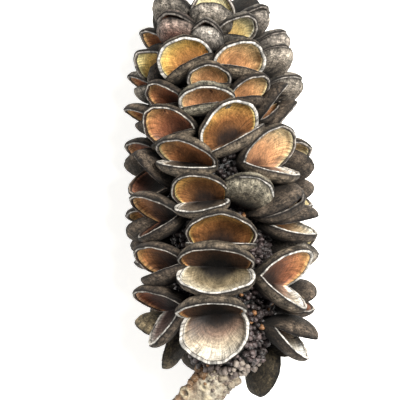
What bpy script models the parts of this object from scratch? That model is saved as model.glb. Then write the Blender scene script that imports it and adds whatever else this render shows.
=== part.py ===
"""Banksia cone: a woody seed cone as picked, lying on its back with its cut stem still on it.

Sizes below are in millimetres and angles in degrees; MM turns the finished meshes to metres.
+Y runs along the cone from stem to tip, +X is its right side, +Z its upper side, and it lies on z = 0.
The front is the upper side, which faces +Z.
"""

import math
import random

import bmesh
import bpy
from mathutils import Matrix, Vector

MM = 0.001

# Where the cone's axis lies: its height, its offset to the side, and its zero mark along +Y.
AXIS_HEIGHT = 35.0
AXIS_SIDE = -0.4
AXIS_START = -55.5

# The core that carries the follicles, a long barrel that narrows to a domed tip.
CORE_RADIUS = 17.0
CORE_BASE = -4.0
CORE_BELLY = 60.0
CORE_TIP = 134.0
BASE_POWER = 6.0
TIP_POWER = 2.4
DOME_ROUNDING = 1 / 2.2
CORE_SIDES = 28
CORE_RINGS = 40
BRACT_RELIEF = 1.0
SLOPE_STEP = 0.5

# A follicle: a woody mouth whose two valves meet at its corners, on the hinge line.
HINGE_OUT = 5.0
REACH_BASE = 9.0
REACH_PER_WIDTH = 0.35
MIDDLE_SHARE = 0.32
DISH_BASE = 1.4
DISH_PER_WIDTH = 0.12
WALL = 1.8
RIM = 1.7
ROOT = 4.5
BEND_SHARE = 0.45
TIP_NARROWING = 0.15
FRONT_SIDES = 12
BACK_SIDES = 10

# Levels from the crevice in the middle, over the lining, the rim and the back, to the root:
# share of the way to the rim, and whether the level is on the outside.
MOUTH_LEVELS = (
    (0.0, False), (0.62, False), (1.0, False), (1.0, True), (0.72, True), (0.36, True), (0.0, True),
)

# Follicles of the front and the sides, read off the cone row by row from the tip down:
# along the cone, round it from the front (right positive), width, roll about its own outward
# direction (right end up positive), the lean of its upper valve up and of its lower valve down,
# and the size of the lower valve as a share of the upper one.
FRONT_FOLLICLES = (
    (125, 3, 18, -12, 44, -14, 0.9),
    (126.5, -50, 17, 14, 30, -24, 1.0),
    (121, -36, 17, 8, 26, -20, 0.9),
    (118.5, -4, 13, -10, 25, -19, 0.9),
    (120, 29, 17, -8, 18, -10, 0.3),
    (123, 58, 14, -20, 22, -18, 0.9),
    (115, 86, 16, -30, 20, -13, 1.0),
    (109, 68, 17, -30, 26, -20, 1.0),
    (110.6, -23, 22, 26, 30, 0, 0.5),
    (108.5, 26, 21, -13, 32, 0, 0.5),
    (117, -66, 14, 20, 28, -8, 0.6),
    (109.5, -64, 16, 40, 32, -10, 0.5),
    (103, -92, 16, 16, 24, -6, 0.7),
    (103.5, -3, 17, 2, 26, -8, 0.3),
    (98, 34, 17, -2, 32, -4, 0.5),
    (100, 86, 18, -24, 18, -12, 1.0),
    (97, -46, 17, 6, 34, -4, 0.45),
    (96, -6, 22, 4, 22, -8, 0.4),
    (93.5, 65, 18, 24, 38, -10, 0.45),
    (86, 78, 19, 10, 42, -6, 0.4),
    (91.5, -84, 17, 10, 24, -2, 0.6),
    (85.6, -41, 22, 15, 46, -4, 0.45),
    (84, 16, 26, 24, 50, 2, 0.62),
    (79, -102, 19, 30, 20, 10, 0.9),
    (74.5, 50, 26, -6, 50, 20, 0.85),
    (76.5, -26.5, 24, -9, 30, 8, 0.75),
    (76, 98, 20, -34, 10, 18, 1.0),
    (72, -73, 19, -30, 40, 26, 0.9),
    (66, -114, 17, -24, 14, 14, 1.0),
    (62.5, 21, 20, -25, 28, -26, 0.95),
    (62.3, -15.5, 22, 3, 38, 20, 0.7),
    (59.8, 52, 22, 28, 6, 0, 1.0),
    (63, 106, 19, 26, 8, 14, 1.0),
    (56.5, -62, 22, 8, 34, 28, 0.85),
    (55, -100, 17, 28, 14, 12, 1.0),
    (46, -1, 27, -4, 39, -2, 0.36),
    (53, 71, 22, 6, 4, 20, 1.0),
    (44, -114, 18, -20, 14, 12, 1.0),
    (37.3, -57, 23, 14, 34, 8, 0.8),
    (37.5, -6, 29, -5, 24, 31, 0.95),
    (42, 102, 19, -30, 12, 14, 1.0),
    (31, 59, 25, -14, 40, 40, 0.95),
    (23, -65, 22, 10, 30, 48, 1.0),
    (20, -12, 27, 2, 22, 74, 1.0),
    (24, 106, 18, 24, 12, 18, 1.0),
    (15, 72, 19, 0, -16, 46, 1.1),
    (14, -112, 20, -16, 26, 56, 1.0),
    (4, 119, 22, 0, 28, 80, 1.0),
)

# The stem, from its seat inside the core to its cut end: to the side, along the cone,
# up from the axis, and thickness as a share of the stem's radius. Its knobs are buds and scars:
# to the side, along the cone, up from the axis, and radius.
STEM_RADIUS = 7.2
STEM_ROUTE = (
    (-0.5, 7.0, 0.0, 1.0),
    (-3.6, -2.0, 0.0, 1.0),
    (-9.5, -9.5, -0.5, 1.03),
    (-16.5, -17.0, -2.0, 1.0),
    (-24.0, -25.0, -4.0, 0.97),
)
STEM_BEVEL = 3
STEM_STEPS = 4
STEM_KNOBS = (
    (-11.2, -0.6, 3.0, 1.9),
    (-9.6, -2.9, 6.2, 1.6),
    (-12.9, -4.2, 4.0, 1.7),
    (-14.6, -6.0, 3.0, 1.5),
    (1.6, -4.4, 3.4, 2.0),
    (2.6, -6.6, 1.0, 1.8),
    (0.6, -7.4, 4.4, 1.6),
    (-2.6, -4.4, 7.0, 1.8),
)
KNOB_SIDES = 8
KNOB_RINGS = 6

# The socket in the cone is this much wider than the stem; closer points than WELD are one.
GAP = 0.3
WELD = 0.01

# The rest of the cone, behind: rows of follicles that step round by half a place from row to row.
BACK_FIRST = 12.0
BACK_LAST = 124.0
BACK_ROW = 16.0
BACK_STEP = 46.0
BACK_SPREAD = 50.0
BACK_PLACES = 2
BACK_WIDTH = 22.0
BACK_SCATTER = 1.5
BACK_ROLL = 14.0
BACK_LEAN = (42.0, 50.0)
BACK_SEED = 7

# Three follicles behind stand out a little further than the rest, and the cone rests on their tips.
FEET = (
    (28, 180, 24, 0, 40, 16, 1.0),
    (76, 155, 27, 0, 14, 40, 1.0),
    (76, 205, 27, 0, 14, 40, 1.0),
)

CONE_TRIANGLES = 11000
FLOOR_SIZE = 200.0
SHARP_ANGLE = 35.0
CONE_COLOUR = (0.17, 0.12, 0.09)
CONE_ROUGHNESS = 0.85
BARK_COLOUR = (0.45, 0.38, 0.28)
BARK_ROUGHNESS = 0.8


def core_radius(along):
    """Radius of the core at a distance along it."""
    if along > CORE_BELLY:
        fall = ((along - CORE_BELLY) / (CORE_TIP - CORE_BELLY)) ** TIP_POWER
    else:
        fall = ((CORE_BELLY - along) / (CORE_BELLY - CORE_BASE)) ** BASE_POWER
    return CORE_RADIUS * max(0.0, 1 - fall) ** DOME_ROUNDING


def radial(around):
    """Unit direction straight out from the axis, at an angle round from the front."""
    angle = math.radians(around)
    return Vector((math.sin(angle), 0, math.cos(angle)))


def on_axis(along):
    return Vector((AXIS_SIDE, AXIS_START + along, AXIS_HEIGHT))


def seat(along, around):
    """Hinge point of a follicle, with the outward, sideways and upward directions there."""
    slope = (core_radius(along + SLOPE_STEP) - core_radius(along - SLOPE_STEP)) / (2 * SLOPE_STEP)
    tilt = math.atan(-slope)
    out = radial(around)
    lengthwise = Vector((0, 1, 0))
    normal = out * math.cos(tilt) + lengthwise * math.sin(tilt)
    up = lengthwise * math.cos(tilt) - out * math.sin(tilt)
    point = on_axis(along) + out * core_radius(along) + normal * HINGE_OUT
    return point, normal, up.cross(normal), up


def smooth_step(value):
    value = max(0.0, min(1.0, value))
    return value * value * (3 - 2 * value)


def mouth_point(follicle, share, angle, outside):
    """A point of the follicle as (sideways, up, out) from its hinge; angle 0 and pi are its corners."""
    width, lean_up, lean_down, lower_size = follicle[2], follicle[4], follicle[5], follicle[6]
    upper = angle >= 0
    size = 1.0 if upper else lower_size
    lean = math.radians(lean_up if upper else -lean_down)
    reach = (REACH_BASE + REACH_PER_WIDTH * width) * size
    inset = 0.0 if outside else RIM
    middle = reach * MIDDLE_SHARE
    half_reach = reach - middle - inset
    half_width = width / 2 - inset
    corner = -math.asin(min(1.0, middle / half_reach))
    turn = corner + (math.pi - 2 * corner) * abs(angle) / math.pi
    across = share * half_width * math.cos(turn)
    along = share * (middle + half_reach * math.sin(turn))
    fullness = (across / half_width) ** 2 + ((along - middle) / half_reach) ** 2
    depth = (DISH_BASE + DISH_PER_WIDTH * width) * size + (WALL if outside else 0.0)
    depth *= math.sqrt(max(0.0, 1 - fullness))
    bend = smooth_step(along / (reach * BEND_SHARE))
    # The back leans away from the mouth; on the hinge line both backs run straight in.
    away = 1 if upper else -1
    back_up = bend * away * math.cos(lean)
    back_out = -bend * away * math.sin(lean) - (1 - bend)
    length = math.hypot(back_up, back_out)
    root = ROOT * (1 - bend) * (1 - share ** 3) if outside else 0.0
    across *= 1 - TIP_NARROWING * max(0.0, math.sin(turn)) ** 2
    return Vector((
        across,
        along * math.sin(lean) + depth * back_up / length,
        along * math.cos(lean) + depth * back_out / length - root,
    ))


def add_follicle(name, follicle, sides, collection):
    """One follicle as a closed body, made from a sphere whose one half is pushed into the other."""
    point, normal, side, up = seat(follicle[0], follicle[1])
    turn = Matrix.Rotation(math.radians(follicle[3]), 3, normal)
    rows = Matrix((turn @ side, turn @ up, normal)).transposed()
    last = len(MOUTH_LEVELS) - 1
    mesh = bpy.data.meshes.new(name)
    shape = bmesh.new()
    bmesh.ops.create_uvsphere(shape, u_segments=sides, v_segments=last, radius=1)
    for vertex in shape.verts:
        level = round(math.acos(max(-1.0, min(1.0, vertex.co.z))) / math.pi * last)
        share, outside = MOUTH_LEVELS[level]
        angle = round(math.atan2(vertex.co.y, vertex.co.x) * sides / math.tau) * math.tau / sides
        vertex.co = (point + rows @ mouth_point(follicle, share, angle, outside)) * MM
    shape.to_mesh(mesh)
    shape.free()
    piece = bpy.data.objects.new(name, mesh)
    collection.objects.link(piece)
    return piece


def back_follicles():
    """Rows of follicles on the hidden side, evenly spread with a little seeded scatter."""
    draw = random.Random(BACK_SEED)
    rows = int((BACK_LAST - BACK_FIRST) / BACK_ROW) + 1
    found = []
    for row in range(rows):
        along = BACK_FIRST + row * BACK_ROW
        shift = BACK_STEP / 2 if row % 2 == 0 else 0.0
        places = [shift + BACK_STEP * k for k in range(-BACK_PLACES, BACK_PLACES + 1)]
        for place in places:
            on_a_foot = [
                foot for foot in FEET
                if abs(foot[0] - along) < BACK_ROW / 2 and abs(foot[1] - 180 - place) < BACK_STEP / 2
            ]
            if abs(place) > BACK_SPREAD or on_a_foot:
                continue
            found.append((
                along + draw.uniform(-BACK_SCATTER, BACK_SCATTER),
                180 + place,
                BACK_WIDTH + draw.uniform(-BACK_SCATTER, BACK_SCATTER),
                draw.uniform(-BACK_ROLL, BACK_ROLL),
                draw.uniform(*BACK_LEAN),
                draw.uniform(*BACK_LEAN),
                1.0,
            ))
    return found


def add_core(collection):
    """The core with its bracts as a net of small raised knobs."""
    mesh = bpy.data.meshes.new("cone")
    shape = bmesh.new()
    bmesh.ops.create_uvsphere(shape, u_segments=CORE_SIDES, v_segments=CORE_RINGS, radius=1)
    for vertex in shape.verts:
        polar = math.acos(max(-1.0, min(1.0, vertex.co.z)))
        ring = round(polar / math.pi * CORE_RINGS)
        place = round(math.atan2(vertex.co.y, vertex.co.x) / math.tau * CORE_SIDES)
        along = CORE_TIP + (CORE_BASE - CORE_TIP) * ring / CORE_RINGS
        knob = BRACT_RELIEF if (ring + place) % 2 else 0.0
        radius = core_radius(along)
        if 0 < ring < CORE_RINGS:
            radius += knob
        out = radial(360 * place / CORE_SIDES)
        vertex.co = (on_axis(along) + out * radius) * MM
    shape.to_mesh(mesh)
    shape.free()
    core = bpy.data.objects.new("cone", mesh)
    collection.objects.link(core)
    return core


def apply_modifiers(piece):
    """Makes the evaluated mesh the object's own."""
    graph = bpy.context.evaluated_depsgraph_get()
    finished = bpy.data.meshes.new_from_object(piece.evaluated_get(graph))
    piece.modifiers.clear()
    piece.data = finished


def islands_of(shape):
    """The separate bodies of a mesh, as sets of vertices."""
    unseen = set(shape.verts)
    islands = []
    while unseen:
        start = unseen.pop()
        island = {start}
        front = [start]
        while front:
            vertex = front.pop()
            for edge in vertex.link_edges:
                other = edge.other_vert(vertex)
                if other in unseen:
                    unseen.remove(other)
                    island.add(other)
                    front.append(other)
        islands.append(island)
    return islands


def tidy(piece):
    """Drops corners that only split an edge, scraps and sealed pockets, and leaves triangles."""
    shape = bmesh.new()
    shape.from_mesh(piece.data)
    on_an_edge = [vertex for vertex in shape.verts if len(vertex.link_edges) == 2]
    bmesh.ops.dissolve_verts(shape, verts=on_an_edge)
    bmesh.ops.triangulate(shape, faces=shape.faces)
    islands = sorted(islands_of(shape), key=len)
    loose = [vertex for island in islands[:-1] for vertex in island]
    bmesh.ops.delete(shape, geom=loose, context="VERTS")
    shape.to_mesh(piece.data)
    shape.free()


def join_all(piece, additions):
    """One union of the piece with everything in a collection, which then goes."""
    union = piece.modifiers.new("union", "BOOLEAN")
    union.operation = "UNION"
    union.operand_type = "COLLECTION"
    union.collection = additions
    union.solver = "MANIFOLD"
    apply_modifiers(piece)
    tidy(piece)
    for item in list(additions.objects):
        bpy.data.objects.remove(item)
    bpy.data.collections.remove(additions)


def cut(piece, cutter):
    """Takes the cutter's volume off the piece; the cutter then goes."""
    difference = piece.modifiers.new("cut", "BOOLEAN")
    difference.operation = "DIFFERENCE"
    difference.object = cutter
    difference.solver = "MANIFOLD"
    apply_modifiers(piece)
    tidy(piece)
    bpy.data.objects.remove(cutter)


def thin_out(piece, triangles):
    """Merges the smallest triangles that the union left, down to a set number."""
    thinned = piece.modifiers.new("thinned", "DECIMATE")
    thinned.ratio = min(1.0, triangles / len(piece.data.polygons))
    apply_modifiers(piece)


def box(name, low, high, collection):
    """A plain block between two corners, for cutting."""
    mesh = bpy.data.meshes.new(name)
    shape = bmesh.new()
    bmesh.ops.create_cube(shape, size=1)
    for vertex in shape.verts:
        place = [low[k] if vertex.co[k] < 0 else high[k] for k in range(3)]
        vertex.co = Vector(place) * MM
    shape.to_mesh(mesh)
    shape.free()
    block = bpy.data.objects.new(name, mesh)
    block.hide_render = True
    block.display_type = "WIRE"
    collection.objects.link(block)
    return block


def stem_tube(name, extra, first, collection):
    """The stem's curve as a closed mesh, grown by a margin where it serves as a cutter."""
    curve = bpy.data.curves.new(name, "CURVE")
    curve.dimensions = "3D"
    curve.bevel_depth = (STEM_RADIUS + extra) * MM
    curve.bevel_resolution = STEM_BEVEL
    curve.resolution_u = STEM_STEPS
    curve.use_fill_caps = True
    route = [first, *STEM_ROUTE[1:]]
    spline = curve.splines.new("BEZIER")
    spline.bezier_points.add(len(route) - 1)
    for point, (side, along, height, swell) in zip(spline.bezier_points, route):
        place = on_axis(along) + Vector((side, 0, height))
        point.co = place * MM
        point.radius = swell
        point.handle_left_type = "AUTO"
        point.handle_right_type = "AUTO"
    tube = bpy.data.objects.new(name, curve)
    collection.objects.link(tube)
    graph = bpy.context.evaluated_depsgraph_get()
    mesh = bpy.data.meshes.new_from_object(tube.evaluated_get(graph))
    bpy.data.objects.remove(tube)
    shape = bmesh.new()
    shape.from_mesh(mesh)
    bmesh.ops.remove_doubles(shape, verts=shape.verts, dist=WELD * MM)
    bmesh.ops.recalc_face_normals(shape, faces=shape.faces)
    shape.to_mesh(mesh)
    shape.free()
    piece = bpy.data.objects.new(name, mesh)
    collection.objects.link(piece)
    return piece


def add_stem(name, extra, collection):
    """The cut length of branch under the cone, with buds and bract scars fused on."""
    side, along, height, swell = STEM_ROUTE[0]
    stem = stem_tube(name, extra, (side, along + extra, height, swell), collection)
    knobs = bpy.data.collections.new("knobs")
    bpy.context.scene.collection.children.link(knobs)
    for side, along, height, radius in STEM_KNOBS:
        mesh = bpy.data.meshes.new("knob")
        shape = bmesh.new()
        ball = (radius + extra) * MM
        bmesh.ops.create_uvsphere(shape, u_segments=KNOB_SIDES, v_segments=KNOB_RINGS, radius=ball)
        shape.to_mesh(mesh)
        shape.free()
        knob = bpy.data.objects.new("knob", mesh)
        knob.location = (on_axis(along) + Vector((side, 0, height))) * MM
        knobs.objects.link(knob)
    join_all(stem, knobs)
    return stem


def finish(piece, name, colour, roughness):
    """A matt woody material, and smooth shading with the edges kept."""
    material = bpy.data.materials.new(name)
    material.use_nodes = True
    shader = material.node_tree.nodes["Principled BSDF"]
    shader.inputs["Base Color"].default_value = (*colour, 1)
    shader.inputs["Roughness"].default_value = roughness
    shader.inputs["Metallic"].default_value = 0.0
    piece.data.materials.clear()
    piece.data.materials.append(material)
    piece.data.shade_smooth()
    piece.data.set_sharp_from_angle(angle=math.radians(SHARP_ANGLE))


def main():
    for item in list(bpy.data.objects):
        bpy.data.objects.remove(item)
    cone_parts = bpy.data.collections.new("banksia cone")
    cutters = bpy.data.collections.new("cutters")
    follicles = bpy.data.collections.new("follicles")
    for collection in (cone_parts, cutters, follicles):
        bpy.context.scene.collection.children.link(collection)

    cone = add_core(cone_parts)
    for number, follicle in enumerate(FRONT_FOLLICLES):
        add_follicle(f"front_{number}", follicle, FRONT_SIDES, follicles)
    for number, follicle in enumerate([*FEET, *back_follicles()]):
        add_follicle(f"back_{number}", follicle, BACK_SIDES, follicles)
    join_all(cone, follicles)
    thin_out(cone, CONE_TRIANGLES)
    cut(cone, add_stem("socket", GAP, cutters))
    floor = box("floor", (-FLOOR_SIZE, -FLOOR_SIZE, -FLOOR_SIZE), (FLOOR_SIZE, FLOOR_SIZE, 0), cutters)
    cut(cone, floor)
    finish(cone, "grey brown wood", CONE_COLOUR, CONE_ROUGHNESS)

    stem = add_stem("stem", 0.0, cone_parts)
    finish(stem, "pale bark", BARK_COLOUR, BARK_ROUGHNESS)


if __name__ == "__main__":
    main()
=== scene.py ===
"""Looks of the banksia cone: its follicles, bracts and stem in fine detail, on a pale floor.

Sizes are in millimetres and angles in degrees, as in the part's source; MM turns them to metres.
+Y runs along the cone from stem to tip, and +Z faces the camera, which looks straight down.
"""

import math
import random

import bmesh
import bpy
import numpy as np
from mathutils import Matrix, Vector, noise
from mathutils.bvhtree import BVHTree


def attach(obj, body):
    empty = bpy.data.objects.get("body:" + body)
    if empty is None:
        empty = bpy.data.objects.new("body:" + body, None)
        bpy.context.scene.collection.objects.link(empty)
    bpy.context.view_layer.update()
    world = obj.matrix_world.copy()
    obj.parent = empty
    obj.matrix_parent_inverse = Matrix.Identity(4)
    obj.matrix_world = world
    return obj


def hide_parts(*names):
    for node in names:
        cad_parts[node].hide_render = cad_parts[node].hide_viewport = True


MM = 0.001

# The form, with the same values as the part's source.
AXIS_HEIGHT = 35.0
AXIS_SIDE = -0.4
AXIS_START = -55.5
CORE_RADIUS = 17.0
CORE_BASE = -4.0
CORE_BELLY = 60.0
CORE_TIP = 134.0
BASE_POWER = 6.0
TIP_POWER = 2.4
DOME_ROUNDING = 1 / 2.2
HINGE_OUT = 5.0
REACH_BASE = 9.0
REACH_PER_WIDTH = 0.35
MIDDLE_SHARE = 0.32
DISH_BASE = 1.4
DISH_PER_WIDTH = 0.12
WALL = 1.8
RIM = 1.7
ROOT = 4.5
BEND_SHARE = 0.45
TIP_NARROWING = 0.15
BACK_TAKEOVER = 0.5
SLOPE_STEP = 0.5

# The follicles of the front and the sides, as in the part's source: how far along the core, the
# angle round it, the width, the roll, how far the upper and the lower valve lean out, and the lower
# valve's size. With each go the names of its upper lining, lower lining, shell and rim tones.
FRONT_FOLLICLES = (
    ((125, 3, 18, -12, 44, -14, 0.9), "straw", "umber", "dust", "grey"),
    ((126.5, -50, 17, 14, 30, -24, 1.0), "tan", "umber", "dust", "closed"),
    ((121, -36, 17, 8, 26, -20, 0.9), "umber", "umber", "rosy_grey", "closed"),
    ((118.5, -4, 13, -10, 25, -19, 0.9), "umber", "umber", "drip", "closed"),
    ((120, 29, 17, -8, 18, -10, 0.3), "straw", "straw", "grey", "grey"),
    ((123, 58, 14, -20, 22, -18, 0.9), "tan", "tan", "pale", "closed"),
    ((115, 86, 16, -30, 20, -13, 1.0), "tan", "tan", "pale", "closed"),
    ((109, 68, 17, -30, 26, -20, 1.0), "tan", "tan", "grey", "closed"),
    ((110.6, -23, 22, 26, 30, 0, 0.5), "gold", "gold", "brown", "white"),
    ((108.5, 26, 21, -13, 32, 0, 0.5), "khaki", "khaki", "brown", "white"),
    ((117, -66, 14, 20, 28, -8, 0.6), "orange", "amber", "dark", "grey"),
    ((109.5, -64, 16, 40, 32, -10, 0.5), "gold", "amber", "dark", "grey"),
    ((103, -92, 16, 16, 24, -6, 0.7), "russet", "russet", "grey", "grey"),
    ((103.5, -3, 17, 2, 26, -8, 0.3), "khaki", "amber", "brown", "grey"),
    ((98, 34, 17, -2, 32, -4, 0.5), "khaki", "tan", "dark", "grey"),
    ((100, 86, 18, -24, 18, -12, 1.0), "tan", "tan", "grey", "grey"),
    ((97, -46, 17, 6, 34, -4, 0.45), "orange", "russet", "dark", "banded"),
    ((96, -6, 22, 4, 22, -8, 0.4), "peach", "straw", "mottled", "white"),
    ((93.5, 65, 18, 24, 38, -10, 0.45), "peach", "peach", "dark", "grey"),
    ((86, 78, 19, 10, 42, -6, 0.4), "tan", "peach", "dark", "grey"),
    ((91.5, -84, 17, 10, 24, -2, 0.6), "amber", "amber", "dark", "banded"),
    ((85.6, -41, 22, 15, 46, -4, 0.45), "orange", "amber", "brown", "banded"),
    ((84, 16, 26, 24, 50, 2, 0.62), "gilt", "cream", "brown", "white"),
    ((79, -102, 19, 30, 20, 10, 0.9), "russet", "umber", "dark", "grey"),
    ((74.5, 50, 26, -6, 50, 20, 0.85), "peach", "ivory", "brown", "grey"),
    ((76.5, -26.5, 24, -9, 30, 8, 0.75), "honey", "ash", "brown", "grey"),
    ((76, 98, 20, -34, 10, 18, 1.0), "peach", "peach", "dark", "grey"),
    ((72, -73, 19, -30, 40, 26, 0.9), "russet", "umber", "dark", "brown"),
    ((66, -114, 17, -24, 14, 14, 1.0), "amber", "umber", "dark", "grey"),
    ((62.5, 21, 20, -25, 28, -26, 0.95), "umber", "umber", "mottled", "white"),
    ((62.3, -15.5, 22, 3, 38, 20, 0.7), "gilt", "ash", "brown", "banded"),
    ((59.8, 52, 22, 28, 6, 0, 1.0), "tan", "tan", "dark", "closed"),
    ((63, 106, 19, 26, 8, 14, 1.0), "tan", "tan", "dark", "grey"),
    ((56.5, -62, 22, 8, 34, 28, 0.85), "bronze", "umber", "dark", "banded"),
    ((55, -100, 17, 28, 14, 12, 1.0), "amber", "umber", "dark", "grey"),
    ((46, -1, 27, -4, 39, -2, 0.36), "gilt", "cream", "brown", "banded"),
    ((53, 71, 22, 6, 4, 20, 1.0), "tan", "cream", "dark", "grey"),
    ((44, -114, 18, -20, 14, 12, 1.0), "amber", "umber", "dark", "grey"),
    ((37.3, -57, 23, 14, 34, 8, 0.8), "bronze", "umber", "dark", "banded"),
    ((37.5, -6, 29, -5, 24, 31, 0.95), "bronze", "olive", "brown", "banded"),
    ((42, 102, 19, -30, 12, 14, 1.0), "tan", "tan", "grey", "grey"),
    ((31, 59, 25, -14, 40, 40, 0.95), "orange", "ivory", "brown", "white"),
    ((23, -65, 22, 10, 30, 48, 1.0), "russet", "mauve", "dark", "banded"),
    ((20, -12, 27, 2, 22, 74, 1.0), "bronze", "bone", "brown", "white"),
    ((24, 106, 18, 24, 12, 18, 1.0), "russet", "umber", "dark", "grey"),
    ((15, 72, 19, 0, -16, 46, 1.1), "umber", "ivory", "dark", "grey"),
    ((14, -112, 20, -16, 26, 56, 1.0), "umber", "umber", "olive", "brown"),
    ((4, 119, 22, 0, 28, 80, 1.0), "umber", "umber", "olive", "brown"),
)
BACK_FIRST = 12.0
BACK_LAST = 124.0
BACK_ROW = 16.0
BACK_STEP = 46.0
BACK_SPREAD = 50.0
BACK_PLACES = 2
BACK_WIDTH = 22.0
BACK_SCATTER = 1.5
BACK_ROLL = 14.0
BACK_LEAN = (42.0, 50.0)
BACK_SEED = 7
FEET = (
    (28, 180, 24, 0, 40, 16, 1.0),
    (76, 155, 27, 0, 14, 40, 1.0),
    (76, 205, 27, 0, 14, 40, 1.0),
)
BACK_TONES = (
    ("amber", "umber", "dark", "grey"),
    ("tan", "ash", "grey", "grey"),
    ("russet", "mauve", "brown", "grey"),
    ("gold", "cream", "brown", "white"),
)

# Tones of a lining from its rim to its crevice: the edge, the outer part, the middle and the deep,
# then where these lie on the way from the crevice out. They are the lining's own colour, with a
# painted highlight at the pale edge and painted shade that deepens into the crevice.
SHALLOW = (0.1, 0.38, 0.7, 0.96)
MIDWAY = (0.2, 0.46, 0.76, 0.96)
DEEP = (0.3, 0.56, 0.82, 0.97)
PALE_OUT = (0.22, 0.42, 0.66, 0.9)
LININGS = {
    "straw": ((255, 250, 228), (252, 240, 186), (240, 206, 132), (180, 130, 80), SHALLOW),
    "gold": ((248, 234, 170), (232, 192, 108), (198, 140, 80), (80, 50, 30), SHALLOW),
    "gilt": ((250, 228, 152), (226, 176, 100), (160, 108, 64), (46, 30, 21), MIDWAY),
    "khaki": ((248, 232, 180), (226, 190, 136), (206, 152, 104), (118, 78, 50), SHALLOW),
    "honey": ((248, 230, 170), (230, 180, 122), (194, 130, 84), (74, 47, 31), SHALLOW),
    "tan": ((240, 222, 168), (214, 176, 126), (168, 130, 95), (60, 43, 31), SHALLOW),
    "amber": ((234, 186, 122), (214, 144, 92), (148, 89, 60), (36, 23, 17), DEEP),
    "orange": ((238, 190, 128), (212, 146, 98), (148, 92, 64), (44, 28, 21), MIDWAY),
    "peach": ((252, 236, 188), (242, 202, 150), (216, 158, 112), (96, 64, 48), SHALLOW),
    "russet": ((216, 158, 110), (184, 112, 77), (104, 62, 47), (24, 16, 14), DEEP),
    "bronze": ((244, 192, 128), (216, 150, 98), (98, 68, 50), (16, 12, 10), MIDWAY),
    "umber": ((160, 110, 85), (110, 73, 58), (56, 40, 34), (15, 12, 11), DEEP),
    "mauve": ((226, 212, 201), (170, 144, 134), (96, 74, 67), (24, 18, 17), MIDWAY),
    "ash": ((248, 243, 234), (214, 205, 190), (122, 109, 95), (28, 22, 19), MIDWAY),
    "olive": ((255, 253, 246), (250, 240, 214), (158, 142, 112), (25, 21, 17), PALE_OUT),
    "cream": ((255, 250, 234), (246, 222, 182), (196, 150, 110), (60, 42, 31), SHALLOW),
    "ivory": ((255, 253, 247), (248, 237, 216), (152, 122, 104), (26, 20, 17), PALE_OUT),
    "bone": ((236, 228, 212), (212, 196, 170), (130, 106, 90), (26, 20, 17), PALE_OUT),
}
# Tones of a shell: by the rim, over its back, and down at its root, where it darkens as painted
# shade deep in the cone.
SHELLS = {
    "grey": ((144, 135, 123), (100, 91, 80), (29, 24, 21)),
    "pale": ((164, 154, 143), (130, 120, 109), (46, 39, 34)),
    "rosy_grey": ((152, 134, 123), (114, 80, 68), (34, 26, 22)),
    "dust": ((176, 166, 153), (138, 128, 115), (52, 44, 38)),
    "drip": ((172, 164, 154), (138, 129, 119), (30, 24, 21)),
    "mottled": ((136, 129, 112), (76, 69, 57), (20, 17, 14)),
    "brown": ((108, 96, 81), (57, 48, 38), (12, 9, 8)),
    "dark": ((82, 71, 60), (43, 36, 29), (10, 8, 7)),
    "olive": ((132, 117, 90), (106, 93, 70), (42, 35, 26)),
}
# Tones of a rim: its outer band, its inner band, and where it is worn; then where these lie,
# as shares of the way from the lining to the shell. The inner band is the rim's colour darkened
# with painted shade, where the rim's wall turns down into the lining.
WIDE_BAND = (0.0, 0.1, 0.17, 0.42, 0.5, 0.76, 0.84, 0.93, 1.0)
THIN_BAND = (0.0, 0.1, 0.2, 0.48, 0.56, 0.7, 0.77, 0.9, 1.0)
RIMS = {
    "white": ((222, 218, 210), (202, 196, 186), (122, 114, 106), WIDE_BAND),
    "grey": ((200, 194, 186), (112, 102, 92), (82, 74, 67), THIN_BAND),
    "banded": ((218, 213, 203), (76, 55, 42), (98, 86, 75), THIN_BAND),
    "brown": ((166, 153, 138), (78, 60, 48), (58, 48, 42), THIN_BAND),
    "closed": ((156, 148, 140), (120, 111, 103), (92, 84, 77), THIN_BAND),
}
# The rim is white round a lower lining of these tones, whatever it is round the upper one.
PALE_LOWER = ("ash", "cream", "ivory", "bone", "olive", "mauve")
LINE_TONE = (20, 15, 13)

# The fine meshes: pieces that the front follicles are in, sectors round a mouth, and levels as
# shares of the way out.
FRONT_PIECES = 3
FRONT_SECTORS = 96
BACK_SECTORS = 60
LINING_LEVELS = (0.0, 0.08, 0.16, 0.25, 0.34, 0.43, 0.52, 0.61, 0.7, 0.78, 0.85, 0.91, 0.96, 1.0)
RIM_LEVELS = (0.05, 0.11, 0.17, 0.3, 0.42, 0.52, 0.64, 0.76, 0.86, 0.94)
SHELL_PLACES = (0.3, 0.66, 0.975, 1.0)
SHELL_LEVELS = (1.0, 0.985, 0.95, 0.9, 0.83, 0.75, 0.66, 0.57, 0.48, 0.38, 0.28, 0.15, 0.0)
CREVICE_DEPTH = 0.5
CREVICE_WIDTH = 1.3
ROOT_POWER = 3
RIM_CROWN = 0.45
CROWN_REACH = 1.05
CROWN_POWER = 0.7
RIM_GROOVE = 0.3
GROOVE_PLACE = 0.07
RIM_RUFFLE = 0.1
WAVE = 0.028
WAVE_COUNTS = (2, 3, 5, 7, 11, 16)
WAVE_STRENGTHS = (0.4, 1.0)
CORNER_FADE = 0.15
FINE_SEED = 3

# Where a lining's tones lie: partly by the way out from its middle, and partly by the way from the
# hinge line, so that painted shade darkens it towards the crevice, but pale at the very edge as a
# painted highlight.
ROUND_SHARE = 0.35
FULL_RISE = 0.86
EDGE_HIGHLIGHT_POWER = 12
LINING_RUFFLE = 0.04
FOLLICLE_SHADES = (0.9, 1.06)
SEED_RANGE = 50

# What a point of a mesh belongs to.
LINING_ZONE = 0.0
RIM_ZONE = 1.0
SHELL_ZONE = 2.0
KNOB_ZONE = 3.0

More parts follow.
